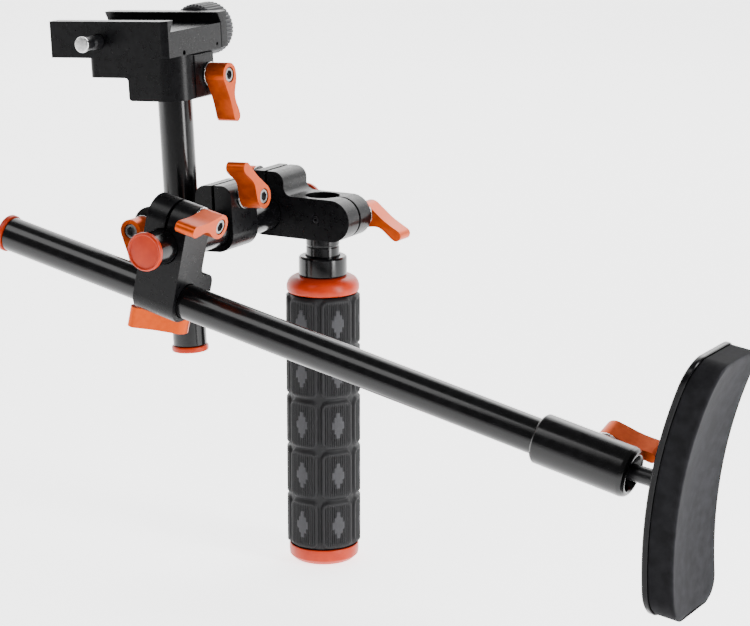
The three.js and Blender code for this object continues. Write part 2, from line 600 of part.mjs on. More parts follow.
function buildChestRod(clampFrame, rodFrame) {
  rodClamp(clampFrame, 'rod_clamp', new THREE.Vector3(0, -0.755, -0.656), new THREE.Vector3(0, 0, -1));
  const alongX = frame(rodFrame, new THREE.Vector3(), Y, Z, X);
  alongX.add(mesh('chest_rod', solid(tube(CHEST.start, CHEST.end)), GLOSS));
  endCap(alongX, 'chest_rod_cap', new THREE.Vector3(0, 0, CHEST.start), Z.clone().negate());
  alongX.add(mesh('ball_collar', collarSolid(), GLOSS));

  const turn = COLLAR.screwTurn * DEG;
  const out = new THREE.Vector3(Math.cos(turn), Math.sin(turn), 0);
  const seat = out.clone().multiplyScalar(COLLAR.radius - COLLAR.flatDepth).setZ(COLLAR.screwX);
  pinchLever(alongX, 'collar', seat, out, Z, COLLAR.screwDepth);
}

// The ball, its stem and the pad, leaning about the ball's centre.
function buildPad(rodFrame) {
  const pad = new THREE.Group();
  pad.position.set(BALL.x, 0, 0);
  pad.rotation.y = (PAD.lean - CHEST.tilt) * DEG;
  rodFrame.add(pad);
  const ball = solid(new THREE.SphereGeometry(BALL.radius, FINE, FINE / 2));
  const stemEnd = PAD.reach - GAP;
  const stem = solid(along(turned([
    [0, 0], [BALL.stem, 0], [BALL.stem, stemEnd - BALL.bossLength],
    [BALL.boss, stemEnd - BALL.bossLength], [BALL.boss, stemEnd], [0, stemEnd],
  ], FINE), X));
  const screwRoom = PAD_SCREW.length + 2 * GAP;
  const tapped = solid(along(disc(PAD_SCREW.hole, stemEnd - screwRoom, stemEnd + PAST, HOLE), X));
  pad.add(mesh('ball_stem', cut(join(ball, stem), tapped), BLACK_STEEL));

  const panel = new THREE.Group();
  panel.position.set(PAD.reach, 0, PAD.rise);
  pad.add(panel);
  const { bend, plate, foam, height, width, corner, foamInset, rise } = PAD;
  const { radius, hole, head, headHeight, length, room } = PAD_SCREW;
  const atStem = (geometry) => solid(along(geometry, X, 0, 0, -rise));
  const plateSolid = bentPanel(bend - plate, bend, height, width, corner);
  const screwHole = atStem(disc(hole, -PAST, plate + PAST, HOLE));
  panel.add(mesh('pad_plate', cut(plateSolid, screwHole), PLASTIC));
  const foamOuter = bend - plate - GAP;
  const foamSolid = bentPanel(foamOuter - foam, foamOuter, height - 2 * foamInset,
    width - 2 * foamInset, corner - foamInset);
  const headTop = plate + GAP + headHeight;
  const headRoom = atStem(disc(room, 0, headTop + PAST, FINE));
  panel.add(mesh('pad_foam', cut(foamSolid, headRoom), FOAM));
  panel.add(mesh('pad_screw', atStem(turned([
    [0, -length], [radius, -length], [radius, plate + GAP], [head, plate + GAP], [head, headTop],
    [0, headTop],
  ], HOLE)), STEEL));
}

// ---------- assembly ----------
const rig = new THREE.Group();
buildGrip(rig);

const cross = new THREE.Group();
cross.position.set(-CLAMP.spacing, 0, CROSS.height);
rig.add(cross);

const crossTube = along(tube(CROSS.front, CROSS.back), Y);
cross.add(mesh('cross_rod', solid(crossTube), GLOSS));
endCap(cross, 'cross_rod_cap_front', new THREE.Vector3(0, CROSS.front, 0), Y.clone().negate());
endCap(cross, 'cross_rod_cap_back', new THREE.Vector3(0, CROSS.back, 0), Y);

const gripClamp = frame(cross, new THREE.Vector3(0, GRIP_CLAMP_Y, 0), X, Y, Z);
rodClamp(gripClamp, 'grip_clamp', new THREE.Vector3(0, 0.3, -1), new THREE.Vector3(0.87, 0, -0.49));

// the mast leans back a little about the cross rod, and its clamp is turned half round
const mastSwing = new THREE.Group();
mastSwing.position.y = MAST_CLAMP_Y;
mastSwing.rotation.y = MAST.tilt * DEG;
cross.add(mastSwing);
const mastClamp = frame(mastSwing, new THREE.Vector3(), X.clone().negate(), Y.clone().negate(), Z);
const mastAxis = frame(mastSwing, new THREE.Vector3(-CLAMP.spacing, 0, 0), X, Y, Z);
buildMast(mastClamp, mastAxis);

// the rod clamp hangs from the cross rod with its bore A across, so the chest rod passes below
const chestSwing = new THREE.Group();
chestSwing.position.y = ROD_CLAMP_Y;
chestSwing.rotation.y = CHEST.tilt * DEG;
cross.add(chestSwing);
const chestAxis = frame(chestSwing, new THREE.Vector3(0, 0, -CLAMP.spacing), X, Y, Z);
const chestClamp = frame(chestAxis, new THREE.Vector3(), Z, X, Y);
buildChestRod(chestClamp, chestAxis);
buildPad(chestAxis);

export default rig;
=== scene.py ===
"""Shoulder camera rig: grip, cross rod, three rod clamps, mast with a plate receiver, chest rod, pad.

Metres, +Z up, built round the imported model. Each section makes one piece or one group of like pieces.
"""

import json
import math

import bmesh
import bpy
import numpy as np
from mathutils import Matrix, Vector

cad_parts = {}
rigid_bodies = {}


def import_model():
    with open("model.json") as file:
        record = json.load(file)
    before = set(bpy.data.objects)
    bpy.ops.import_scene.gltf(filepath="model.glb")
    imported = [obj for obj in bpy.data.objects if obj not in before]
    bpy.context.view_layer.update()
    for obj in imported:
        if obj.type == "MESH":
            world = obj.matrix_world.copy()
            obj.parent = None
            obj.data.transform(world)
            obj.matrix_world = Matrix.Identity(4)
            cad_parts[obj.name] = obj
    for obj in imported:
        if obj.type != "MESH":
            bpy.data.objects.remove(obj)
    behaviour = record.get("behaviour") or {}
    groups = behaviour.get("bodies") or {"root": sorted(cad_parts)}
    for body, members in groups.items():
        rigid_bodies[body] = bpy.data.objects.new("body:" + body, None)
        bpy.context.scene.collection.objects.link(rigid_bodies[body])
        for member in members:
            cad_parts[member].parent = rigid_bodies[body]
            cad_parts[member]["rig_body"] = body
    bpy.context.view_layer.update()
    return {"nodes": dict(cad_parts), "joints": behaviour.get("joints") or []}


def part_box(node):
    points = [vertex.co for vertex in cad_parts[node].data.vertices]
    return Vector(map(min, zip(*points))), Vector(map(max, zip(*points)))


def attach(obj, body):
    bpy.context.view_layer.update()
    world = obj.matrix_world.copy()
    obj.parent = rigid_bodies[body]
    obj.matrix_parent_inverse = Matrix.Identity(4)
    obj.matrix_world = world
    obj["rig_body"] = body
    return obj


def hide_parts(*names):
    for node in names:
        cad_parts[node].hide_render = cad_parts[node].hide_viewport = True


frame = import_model()

# ---------- studio ----------
# The rig stands on its grip on a pale paper sweep, lit by a large soft light from the upper left,
# a tall strip light on each side that draws the long highlights on the rods, and a dim surround. The
# sweep is given a painted glow, brightest behind the rig and dimmer in front, standing in for the
# lamps' light on the paper so that it stays white behind the rig.
stand_point = Vector((0.0201, 0.0120, 0.1145))
camera_point = Vector((0.5766, -0.9924, 0.3825))
camera_data = bpy.data.cameras.new("studio_camera")
camera_data.lens = 125.5
camera_data.sensor_width = 36
camera_data.clip_start = 0.05
camera = bpy.data.objects.new("studio_camera", camera_data)
camera.location = camera_point
camera.rotation_euler = (stand_point - camera_point).to_track_quat("-Z", "Y").to_euler()
bpy.context.scene.collection.objects.link(camera)
bpy.context.scene.camera = camera


def soft_light(name, place, target, width, height, power):
    """A rectangular soft light at place, facing target."""
    data = bpy.data.lights.new(name, "AREA")
    data.shape = "RECTANGLE"
    data.size, data.size_y, data.energy = width, height, power
    lamp = bpy.data.objects.new(name, data)
    lamp.location = place
    lamp.rotation_euler = (Vector(target) - Vector(place)).to_track_quat("-Z", "Y").to_euler()
    lamp.visible_camera = False
    bpy.context.scene.collection.objects.link(lamp)


soft_light("overhead_softbox", (-0.5, -0.9, 1.3), stand_point, 0.9, 0.7, 10)
soft_light("right_strip", (0.70, -0.09, 0.32), (-0.05, -0.04, 0.2), 0.17, 0.64, 7.5)
soft_light("left_strip", (-0.9, -0.45, 0.45), stand_point, 0.2, 0.8, 2)
soft_light("back_softbox", (0.1, 1.2, 1.0), stand_point, 1.2, 0.6, 8)

surround = bpy.data.worlds.new("dim_surround")
surround.use_nodes = True
surround.node_tree.nodes["Background"].inputs["Color"].default_value = (1.0, 1.0, 1.0, 1)
surround.node_tree.nodes["Background"].inputs["Strength"].default_value = 0.22
bpy.context.scene.world = surround


def surface(name, grid, round_u=False, round_v=False):
    """A mesh of quads over a grid of points; round_u or round_v joins the last row to the first.

    Rows that meet in a pole are merged, and the faces are turned outwards.
    """
    u, v = grid.shape[:2]
    index = np.arange(u * v).reshape(u, v)
    if round_u:
        index = np.vstack([index, index[:1]])
    if round_v:
        index = np.hstack([index, index[:, :1]])
    quads = np.stack([index[:-1, :-1], index[1:, :-1], index[1:, 1:], index[:-1, 1:]], -1).reshape(-1, 4)
    mesh = bpy.data.meshes.new(name)
    mesh.from_pydata(grid.reshape(-1, 3).tolist(), [], quads.tolist())
    shell = bmesh.new()
    shell.from_mesh(mesh)
    bmesh.ops.remove_doubles(shell, verts=shell.verts, dist=2e-6)
    bmesh.ops.recalc_face_normals(shell, faces=shell.faces)
    shell.to_mesh(mesh)
    shell.free()
    return mesh


def show(name, mesh, material, smooth_below=38, flats=False):
    """An object at the origin that shows the mesh, smooth across edges flatter than the angle.

    With flats, its large faces stay flat and its small rounds take up the whole turn of the light.
    """
    mesh.polygons.foreach_set("use_smooth", np.ones(len(mesh.polygons), bool))
    mesh.set_sharp_from_angle(angle=math.radians(smooth_below))
    mesh.materials.clear()
    mesh.materials.append(material)
    piece = bpy.data.objects.new(name, mesh)
    bpy.context.scene.collection.objects.link(piece)
    if flats:
        even = piece.modifiers.new("even", "WEIGHTED_NORMAL")
        even.mode, even.weight, even.keep_sharp = "FACE_AREA", 95, True
    return piece


def paper(away):
    """Plain pale paper, slightly uneven in tone, with a painted glow that fades from behind the rig to in
    front.

    The glow is a smooth step of the distance from the grip along the direction away.
    """
    sheet = bpy.data.materials.new("pale_paper")
    sheet.use_nodes = True
    nodes, links = sheet.node_tree.nodes, sheet.node_tree.links
    shader = nodes["Principled BSDF"]
    shader.inputs["Roughness"].default_value = 0.85
    shader.inputs["Emission Color"].default_value = (1, 1, 1, 1)
    where = nodes.new("ShaderNodeTexCoord")
    distance = nodes.new("ShaderNodeVectorMath")
    distance.operation = "DOT_PRODUCT"
    distance.inputs[1].default_value = away
    glow = nodes.new("ShaderNodeMapRange")
    glow.interpolation_type = "SMOOTHSTEP"
    glow.inputs["From Min"].default_value, glow.inputs["From Max"].default_value = -0.75, -0.15
    glow.inputs["To Min"].default_value, glow.inputs["To Max"].default_value = 0.35, 2.6
    links.new(where.outputs["Object"], distance.inputs[0])
    links.new(distance.outputs["Value"], glow.inputs["Value"])
    links.new(glow.outputs["Result"], shader.inputs["Emission Strength"])
    cloud = nodes.new("ShaderNodeTexNoise")
    cloud.inputs["Scale"].default_value = 1.5
    tone = nodes.new("ShaderNodeValToRGB")
    tone.color_ramp.elements[0].color = (0.86, 0.86, 0.86, 1)
    tone.color_ramp.elements[1].color = (0.90, 0.90, 0.90, 1)
    links.new(where.outputs["Object"], cloud.inputs["Vector"])
    links.new(cloud.outputs["Fac"], tone.inputs["Fac"])
    links.new(tone.outputs["Color"], shader.inputs["Base Color"])
    return sheet


# The sweep: flat in front, then a quarter turn up into a wall behind. It is turned so that the
# wall stands square behind the rig, and lies just under the grip's foot.
sweep_radius, sweep_bend_at, sweep_front, sweep_top, sweep_half_width = 1.2, 1.6, -6.0, 5.0, 7
sweep_drop, look = 0.0006, math.radians(29)
sweep_turn = np.linspace(0, math.pi / 2, 24)
sweep_line = np.concatenate([
    [[sweep_front, 0.0]],
    np.stack([sweep_bend_at + sweep_radius * np.sin(sweep_turn),
              sweep_radius - sweep_radius * np.cos(sweep_turn)], 1),
    [[sweep_bend_at + sweep_radius, sweep_top]],
])
sweep_grid = np.zeros((len(sweep_line), 3, 3))
sweep_grid[..., 0] = np.linspace(-sweep_half_width, sweep_half_width, 3)[None]
sweep_grid[..., 1] = sweep_line[:, None, 0]
sweep_grid[..., 2] = sweep_line[:, None, 1] - sweep_drop
turn = np.array([[math.cos(look), math.sin(look), 0], [-math.sin(look), math.cos(look), 0], [0, 0, 1]])
sweep = show("paper_sweep", surface("paper_sweep", sweep_grid @ turn),
             paper((-math.sin(look), math.cos(look), 0)))

# ---------- grip ----------
# A pistol grip: an orange moulded end cap, a ribbed rubber sleeve with thirty pads over an alloy
# core, an orange moulded ring, a black lock nut, and the stub that the grip's clamp closes on.
joints = {joint["name"]: joint for joint in frame["joints"]}
ACROSS = np.array([0.0, 1.0, 0.0])


def axes(origin, x, y, z):
    """A local frame: its origin and its three directions, as rows."""
    return np.array(origin, float), np.array([x, y, z], float)


def put(points, place):
    """Points in a local frame, moved into the rig's frame."""
    return place[0] + points @ place[1]


def fit(piece, *nodes):
    """The piece stands for these nodes and moves with their body."""
    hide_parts(*nodes)
    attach(piece, frame["nodes"][nodes[0]]["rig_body"])
    return piece


def eased(profile, soft, steps=5, closed=False):
    """A profile with each corner rounded: a quadratic curve from soft before it to soft after it.

    At a corner P between A and B the curve is (1-t)^2 A' + 2t(1-t) P + t^2 B', where A' and B' lie
    on the two sides, soft away from P but never past 45% of a side.
    """
    points = np.array(profile, float)
    t = np.linspace(0, 1, steps)[:, None]
    out = []
    for i, corner in enumerate(points):
        if not closed and i in (0, len(points) - 1):
            out.append(corner[None])
            continue
        before, after = points[i - 1] - corner, points[(i + 1) % len(points)] - corner
        a = corner + before * min(0.45, soft / np.linalg.norm(before))
        b = corner + after * min(0.45, soft / np.linalg.norm(after))
        out.append((1 - t) ** 2 * a + 2 * t * (1 - t) * corner + t**2 * b)
    return np.concatenate(out)


def turned(name, profile, place, soft=0.0003, steps=96, closed=False):
    """A turned piece: (radius, height) points, eased, carried round the local z axis."""
    line = eased(profile, soft, closed=closed)
    angle = np.linspace(0, 2 * math.pi, steps, endpoint=False)
    grid = np.stack([
        line[:, None, 0] * np.cos(angle), line[:, None, 0] * np.sin(angle),
        np.repeat(line[:, 1:], steps, 1),
    ], -1)
    return surface(name, put(grid, place), round_u=closed, round_v=True)


def finish(name, dark, light, grain, rough, metallic, bump, stretch=(1, 1, 1), detail=3.0, shine=0.5):
    """A finish that wanders between two tones and two roughnesses, with a fine raised grain.

    grain is the size of the mottling in 1/m, and stretch draws it out along one axis.
    """
    material = bpy.data.materials.new(name)
    material.use_nodes = True
    nodes, links = material.node_tree.nodes, material.node_tree.links
    shader = nodes["Principled BSDF"]
    shader.inputs["Metallic"].default_value = metallic
    shader.inputs["Specular IOR Level"].default_value = shine
    where = nodes.new("ShaderNodeTexCoord")
    drawn = nodes.new("ShaderNodeMapping")
    drawn.inputs["Scale"].default_value = stretch
    mottle = nodes.new("ShaderNodeTexNoise")
    mottle.inputs["Scale"].default_value = grain
    mottle.inputs["Detail"].default_value = detail
    tone = nodes.new("ShaderNodeValToRGB")
    tone.color_ramp.elements[0].position, tone.color_ramp.elements[1].position = 0.35, 0.68
    tone.color_ramp.elements[0].color = (*dark, 1)
    tone.color_ramp.elements[1].color = (*light, 1)
    gloss = nodes.new("ShaderNodeMapRange")
    gloss.inputs["From Min"].default_value, gloss.inputs["From Max"].default_value = 0.3, 0.7
    gloss.inputs["To Min"].default_value, gloss.inputs["To Max"].default_value = rough
    fine = nodes.new("ShaderNodeTexNoise")
    fine.inputs["Scale"].default_value = grain * 9
    raised = nodes.new("ShaderNodeBump")
    raised.inputs["Strength"].default_value = 0.3
    raised.inputs["Distance"].default_value = bump
    links.new(where.outputs["Object"], drawn.inputs["Vector"])
    for noise in (mottle, fine):
        links.new(drawn.outputs["Vector"], noise.inputs["Vector"])
    links.new(mottle.outputs["Fac"], tone.inputs["Fac"])
    links.new(mottle.outputs["Fac"], gloss.inputs["Value"])
    links.new(tone.outputs["Color"], shader.inputs["Base Color"])
    links.new(gloss.outputs["Result"], shader.inputs["Roughness"])
    links.new(fine.outputs["Fac"], raised.inputs["Height"])
    links.new(raised.outputs["Normal"], shader.inputs["Normal"])
    return material


orange_plastic = finish("orange_moulding", (0.36, 0.019, 0.001), (0.42, 0.026, 0.0015), 260,
                        (0.30, 0.40), 0.0, 0.00001, shine=0.22)
gloss_black = finish("gloss_black_anodising", (0.0015, 0.0015, 0.0018), (0.003, 0.003, 0.0035), 300,
                     (0.16, 0.22), 0.0, 0.000002, shine=0.30)
satin_black = finish("satin_black_anodising", (0.0022, 0.0022, 0.0026), (0.0040, 0.0040, 0.0046), 420,
                     (0.26, 0.32), 0.0, 0.0000004, detail=1.0, shine=0.13)
black_oxide = finish("black_oxide", (0.005, 0.005, 0.006), (0.010, 0.010, 0.011), 900,
                     (0.28, 0.40), 0.2, 0.000005, shine=0.3)

grip_axis = axes((0, 0, 0), (1, 0, 0), (0, 1, 0), (0, 0, 1))
sleeve_low, sleeve_high = (corner.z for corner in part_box("grip_sleeve"))
sleeve_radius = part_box("grip_sleeve")[1].x
play = 0.0003
cap_top, ring_top = sleeve_low - play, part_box("grip_ring")[1].z
cap_plug, stub_socket, stub_bolt_hole = 0.009, 0.0035, 0.0203
nut_low, nut_high = (corner.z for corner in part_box("grip_nut"))

end_cap = turned("grip_end_cap_moulding", [
    (0, 0.0006), (0.0102, 0.0006), (0.0106, 0), (0.0133, 0), (0.0157, 0.0022), (0.0159, 0.0048),
    (0.0158, cap_top), (0.0097, cap_top), (0.0097, cap_top + cap_plug), (0, cap_top + cap_plug),
], grip_axis, soft=0.0005)
fit(show("grip_end_cap_moulding", end_cap, orange_plastic), "grip_end_cap")

ring_low = sleeve_high + play
grip_ring = turned("grip_ring_moulding", [
    (0.0080, ring_low), (0.0158, ring_low), (0.0164, ring_low + 0.0012), (0.0164, ring_low + 0.0036),
    (0.0152, ring_low + 0.0060), (0.0130, ring_top - 0.0002), (0.0112, ring_top), (0.0080, ring_top),
], grip_axis, soft=0.0014, closed=True)
fit(show("grip_ring_moulding", grip_ring, orange_plastic, 60), "grip_ring")

nut = turned("grip_lock_nut", [
    (0.0079, nut_low), (0.0107, nut_low), (0.01085, nut_low + 0.0005), (0.01085, nut_high - 0.0007),
    (0.0102, nut_high), (0.0079, nut_high),
], grip_axis, soft=0.0002, closed=True)
fit(show("grip_lock_nut", nut, gloss_black), "grip_nut")

stub_low, stub_high = (corner.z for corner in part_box("grip_stub"))
stub = turned("grip_stub_turned", [
    (0, stub_high - stub_socket), (0.0022, stub_high - stub_socket), (0.0022, stub_high),
    (0.0069, stub_high),
    (0.0075, stub_high - 0.0006), (0.0075, nut_high + 0.0052), (0.0073, nut_high + 0.0050),
    (0.0073, nut_high + 0.0044), (0.0075, nut_high + 0.0042), (0.0075, stub_low),
    (0.0033, stub_low), (0.0033, stub_low + stub_bolt_hole), (0, stub_low + stub_bolt_hole),
], grip_axis, soft=0.0002)
fit(show("grip_stub_turned", stub, gloss_black), "grip_stub")

# the core and its bolt are out of sight inside, and keep their plain shape
for inside_node, inside_finish in (("grip_core", satin_black), ("grip_bolt", black_oxide)):
    frame["nodes"][inside_node].data.materials.clear()
    frame["nodes"][inside_node].data.materials.append(inside_finish)

pads_round, pad_rows, ribs_on_pad, first_groove = 6, 5, 15, math.radians(-6.3)
pad_gap, pad_corner, groove_depth, rib_depth = 0.0011, 0.0030, 0.0013, 0.00050
diamond_wide, diamond_tall = 0.0064, 0.0135
groove_wall, rim_plain, rim_fade = 0.0009, 0.0008, 0.0005
end_round, end_drop, sleeve_bore, sleeve_lip = 0.0008, 0.0005, 0.0127, 0.0012


def sleeve_skin(angle, height):
    """The sleeve's radius and how plain its surface is, at each angle and height.

    With d the distance outside a rounded pad outline, the radius falls from the pad to the groove
    floor as a smooth step of d. Ribs are a cosine round the pad that fades out at the pad's rim and
    inside a diamond |a| / half width + |b| / half height < 1, whose edge steps from rib to rib.
    """
    pitch_a, pitch_b = 2 * math.pi / pads_round, (sleeve_high - sleeve_low) / pad_rows
    a = ((angle - first_groove) % pitch_a - pitch_a / 2) * sleeve_radius
    b = (height - sleeve_low) % pitch_b - pitch_b / 2
    half_a, half_b = pitch_a * sleeve_radius / 2 - pad_gap, pitch_b / 2 - pad_gap
    over_a = np.maximum(np.abs(a) - half_a + pad_corner, 0)
    over_b = np.maximum(np.abs(b) - half_b + pad_corner, 0)
    outside = np.hypot(over_a, over_b) - pad_corner
    fall = np.clip(outside / groove_wall + 0.25, 0, 1)
    fall = fall * fall * (3 - 2 * fall)
    rib = 2 * half_a / ribs_on_pad
    rib_middle = (np.floor(a / rib) + 0.5) * rib
    plain = np.abs(rib_middle) / (diamond_wide / 2) + np.abs(b) / (diamond_tall / 2) < 1.05
    inside = np.clip((-outside - rim_plain) / rim_fade, 0, 1)
    groove = rib_depth * inside * ~plain * (0.5 + 0.5 * np.cos(2 * math.pi * a / rib + math.pi)) ** 0.7
    edge = np.clip(np.minimum(height - sleeve_low, sleeve_high - height) / end_round, 0, 1)
    radius = sleeve_radius - groove_depth * fall - (rib_depth - groove) * inside * ~plain
    return radius - end_drop * (1 - edge) ** 2, plain * inside


sleeve_angle = np.linspace(0, 2 * math.pi, 540, endpoint=False)
sleeve_height = np.concatenate([
    [sleeve_low] * 2, np.linspace(sleeve_low, sleeve_high, 170), [sleeve_high] * 2,
])
A, H = np.meshgrid(sleeve_angle, sleeve_height, indexing="ij")
R, _ = sleeve_skin(A, H)
R[:, [0, -1]] = sleeve_bore
R[:, [1, -2]] = sleeve_radius - sleeve_lip
sleeve_grid = np.stack([R * np.cos(A), R * np.sin(A), H], -1)
sleeve_mesh = surface("rubber_sleeve", sleeve_grid, round_u=True, round_v=True)

# The ribbed rubber, and a lighter copy of it for the smooth diamonds. The diamonds really are smooth, but
# their lighter tone is painted light. It stands in for the shade that falls in the grooves of the ribbed
# part.
rubber = finish("moulded_rubber", (0.0075, 0.0075, 0.0082), (0.0120, 0.0120, 0.0130), 350,
                (0.50, 0.65), 0.0, 0.00001, shine=0.2)
lit_plain_rubber = finish("lit_plain_rubber", (0.026, 0.026, 0.029), (0.036, 0.036, 0.040), 500,
                      (0.60, 0.75), 0.0, 0.00001, shine=0.3)
sleeve = show("rubber_sleeve", sleeve_mesh, rubber, 75)
sleeve_mesh.materials.append(lit_plain_rubber)
middles = np.empty(len(sleeve_mesh.polygons) * 3)
sleeve_mesh.polygons.foreach_get("center", middles)
middles = middles.reshape(-1, 3)
_, plain_face = sleeve_skin(np.arctan2(middles[:, 1], middles[:, 0]) % (2 * math.pi), middles[:, 2])
outer_face = np.hypot(middles[:, 0], middles[:, 1]) > 0.0150
# the smooth diamond faces on the outside take the lighter copy of the rubber, which is painted light
sleeve_mesh.polygons.foreach_set("material_index", ((plain_face > 0.5) & outer_face).astype(np.int32))
fit(sleeve, "grip_sleeve")

# ---------- cross rod ----------
# A 15 mm black anodised alloy tube across the rig, closed at each end by an orange moulded cap
# whose plug is pressed into the tube and whose flange stands a little proud of it.
cross_front, cross_back = (corner.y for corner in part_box("cross_rod"))
cross_centre = np.array(joints["cross_rod_turn"]["pos_m"])
cross_line = cross_centre * [1, 0, 1]
cross_axis = axes(cross_line, (0, 0, 1), (1, 0, 0), (0, 1, 0))


def rod_tube(name, low, high, place):
    """A tube of 7.5 mm radius and 1.5 mm wall, from low to high, with both ends' edges broken."""
    return turned(name, [
        (0.0060, low), (0.0073, low), (0.0075, low + 0.0003), (0.0075, high - 0.0003),
        (0.0073, high), (0.0060, high),
    ], place, soft=0.0002, steps=128, closed=True)


def rod_cap(name, place):
    """A cap on a rod's end: a plug inside the tube, a flange, and a face that is slightly domed."""
    swell = np.linspace(0, 1, 9)
    face = np.stack([0.0070 * swell, 0.00255 - 0.00035 * swell**2], 1)
    return turned(name, [
        *face, (0.0074, 0.0029), (0.0079, 0.00275), (0.0082, 0.0022), (0.0082, 0.0007),
        (0.0080, 0.0003), (0.0057, 0.0003), (0.0057, -0.0052), (0.0050, -0.0060), (0, -0.0060),
    ], place, soft=0.0002)


cross_tube = rod_tube("cross_tube", cross_front, cross_back, cross_axis)
fit(show("cross_tube", cross_tube, gloss_black), "cross_rod")

cap_front = axes(cross_line + ACROSS * cross_front, (1, 0, 0), (0, 0, 1), (0, -1, 0))
cap_back = axes(cross_line + ACROSS * cross_back, (0, 0, 1), (1, 0, 0), (0, 1, 0))
fit(show("cross_cap_front", rod_cap("cross_cap_front", cap_front), orange_plastic), "cross_rod_cap_front")
fit(show("cross_cap_back", rod_cap("cross_cap_back", cap_back), orange_plastic), "cross_rod_cap_back")

# ---------- two-way rod clamps ----------
# Three alike, sawn from black anodised alloy: an ear with a bore across it, an arm with a bore
# down through it, a saw cut through each end, and a blind pinch screw's hole across each cut.
clamp_spacing, clamp_half, bore = 0.0234, 0.0102, 0.0078
arm_top, arm_bottom, ear_half, ear_end = 0.0087, -0.0100, 0.0092, 0.0192
pinch, saw_cut, skin, pinch_hole = 0.0137, 0.0014, 0.0022, 0.0024
arm_middle = (arm_top + arm_bottom) / 2


def arc(x, y, radius, start, end, steps=14):
    """Points on a circle from one angle to another, in degrees."""
    angle = np.radians(np.linspace(start, end, steps))
    return np.stack([x + radius * np.cos(angle), y + radius * np.sin(angle)], 1)


def extruded(name, outline, low, high):
    """A closed outline in local x and z, carried straight along y from low to high."""
    count = len(outline)
    ends = np.zeros((2, count, 3))
    ends[..., 0], ends[..., 2] = outline[:, 0], outline[:, 1]
    ends[0, :, 1], ends[1, :, 1] = low, high
    ring = np.arange(count)
    after = (ring + 1) % count
    sides = np.stack([ring, after, after + count, ring + count], 1).tolist()
    mesh = bpy.data.meshes.new(name)
    mesh.from_pydata(ends.reshape(-1, 3).tolist(), [], [*sides, ring[::-1].tolist(), (ring + count).tolist()])
    shell = bmesh.new()
    shell.from_mesh(mesh)
    bmesh.ops.recalc_face_normals(shell, faces=shell.faces)
    shell.to_mesh(mesh)
    shell.free()
    return mesh


def bored(mesh, tools, edge, segments=2, how="DIFFERENCE"):
    """The mesh with each tool cut out of it and its edges broken by a small round of size edge.

    With how="INTERSECT" only what lies inside every tool is kept.
    """
    blank = bpy.data.objects.new("blank", mesh)
    bpy.context.scene.collection.objects.link(blank)
    cutters = []
    for tool in tools:
        cutter = bpy.data.objects.new("cutter", tool)
        bpy.context.scene.collection.objects.link(cutter)
        cutters.append(cutter)
        cut = blank.modifiers.new("cut", "BOOLEAN")
        cut.operation, cut.object, cut.solver = how, cutter, "EXACT"
    if edge:
        ease = blank.modifiers.new("ease", "BEVEL")
        ease.width, ease.segments, ease.limit_method = edge, segments, "ANGLE"
        ease.angle_limit = math.radians(40)
    bpy.context.view_layer.update()
    made = bpy.data.meshes.new_from_object(blank.evaluated_get(bpy.context.evaluated_depsgraph_get()))
    for thing in (blank, *cutters):
        bpy.data.objects.remove(thing)
    return made


def cube(x0, x1, y0, y1, z0, z1):
    """A plain block, used only to cut with."""
    return extruded("block", np.array([(x0, z0), (x1, z0), (x1, z1), (x0, z1)]), y0, y1)


def drill(radius, start, end, x=0.0, y=0.0, z=0.0, along="z", sides=64):
    """A bar, used only to cut with, along one local axis through a point; round, or six-sided."""
    turn_to = {"x": ((0, 1, 0), (0, 0, 1), (1, 0, 0)), "y": ((0, 0, 1), (1, 0, 0), (0, 1, 0)),
               "z": ((1, 0, 0), (0, 1, 0), (0, 0, 1))}[along]
    return turned("drill", [(0, start), (radius, start), (radius, end), (0, end)],
                  axes((x, y, z), *turn_to), soft=0, steps=sides)


def clamp_outline(ear_round=0.005, fillet=0.004):
    """The clamp seen along the ear's bore: a rounded heel, the ear, a fillet, the arm, a round nose."""
    nose = (arm_top - arm_bottom) / 2
    nose_x, heel = clamp_spacing + ear_end - nose, ear_half * 0.87
    return np.concatenate([
        [(-ear_half, arm_bottom + heel)],
        arc(ear_round - ear_half, ear_end - ear_round, ear_round, 180, 90),
        arc(ear_half - ear_round, ear_end - ear_round, ear_round, 90, 0),
        arc(ear_half + fillet, arm_top + fillet, fillet, 180, 270),
        arc(nose_x, arm_top - nose, nose, 90, -90, 36),
        arc(heel - ear_half, arm_bottom + heel, heel, -90, -179.9, 20),
    ])


far, clamp_edge = 0.03, 0.0005
set_screw_x = clamp_spacing + 0.0022
clamp_mesh = bored(extruded("clamp", clamp_outline(), -clamp_half, clamp_half), [
    drill(bore, -far, far, along="y"),
    drill(bore, -far, far, x=clamp_spacing),
    cube(-saw_cut / 2, saw_cut / 2, -far, far, 0, far),
    cube(clamp_spacing, clamp_spacing + far, -saw_cut / 2, saw_cut / 2, -far, far),
    drill(pinch_hole, -far, ear_half - skin, z=pinch, along="x"),
    drill(pinch_hole, skin - clamp_half, far, x=clamp_spacing + pinch, z=arm_middle, along="y"),
    drill(0.0018, -far, 0, x=set_screw_x, z=arm_middle, along="y"),
], clamp_edge)


def moved(mesh, name, place):
    """A copy of a mesh made in a local frame, put in its place in the rig."""
    copy = mesh.copy()
    copy.name = name
    turn_to = Matrix(place[1].T.tolist()).to_4x4()
    turn_to.translation = Vector(place[0].tolist())
    copy.transform(turn_to)
    return copy


def placed(name, mesh, place, material, node, smooth_below=38, flats=False):
    """A piece made in a local frame, put in its place, shown in its material and fitted to its node."""
    return fit(show(name, moved(mesh, name, place), material, smooth_below, flats), node)


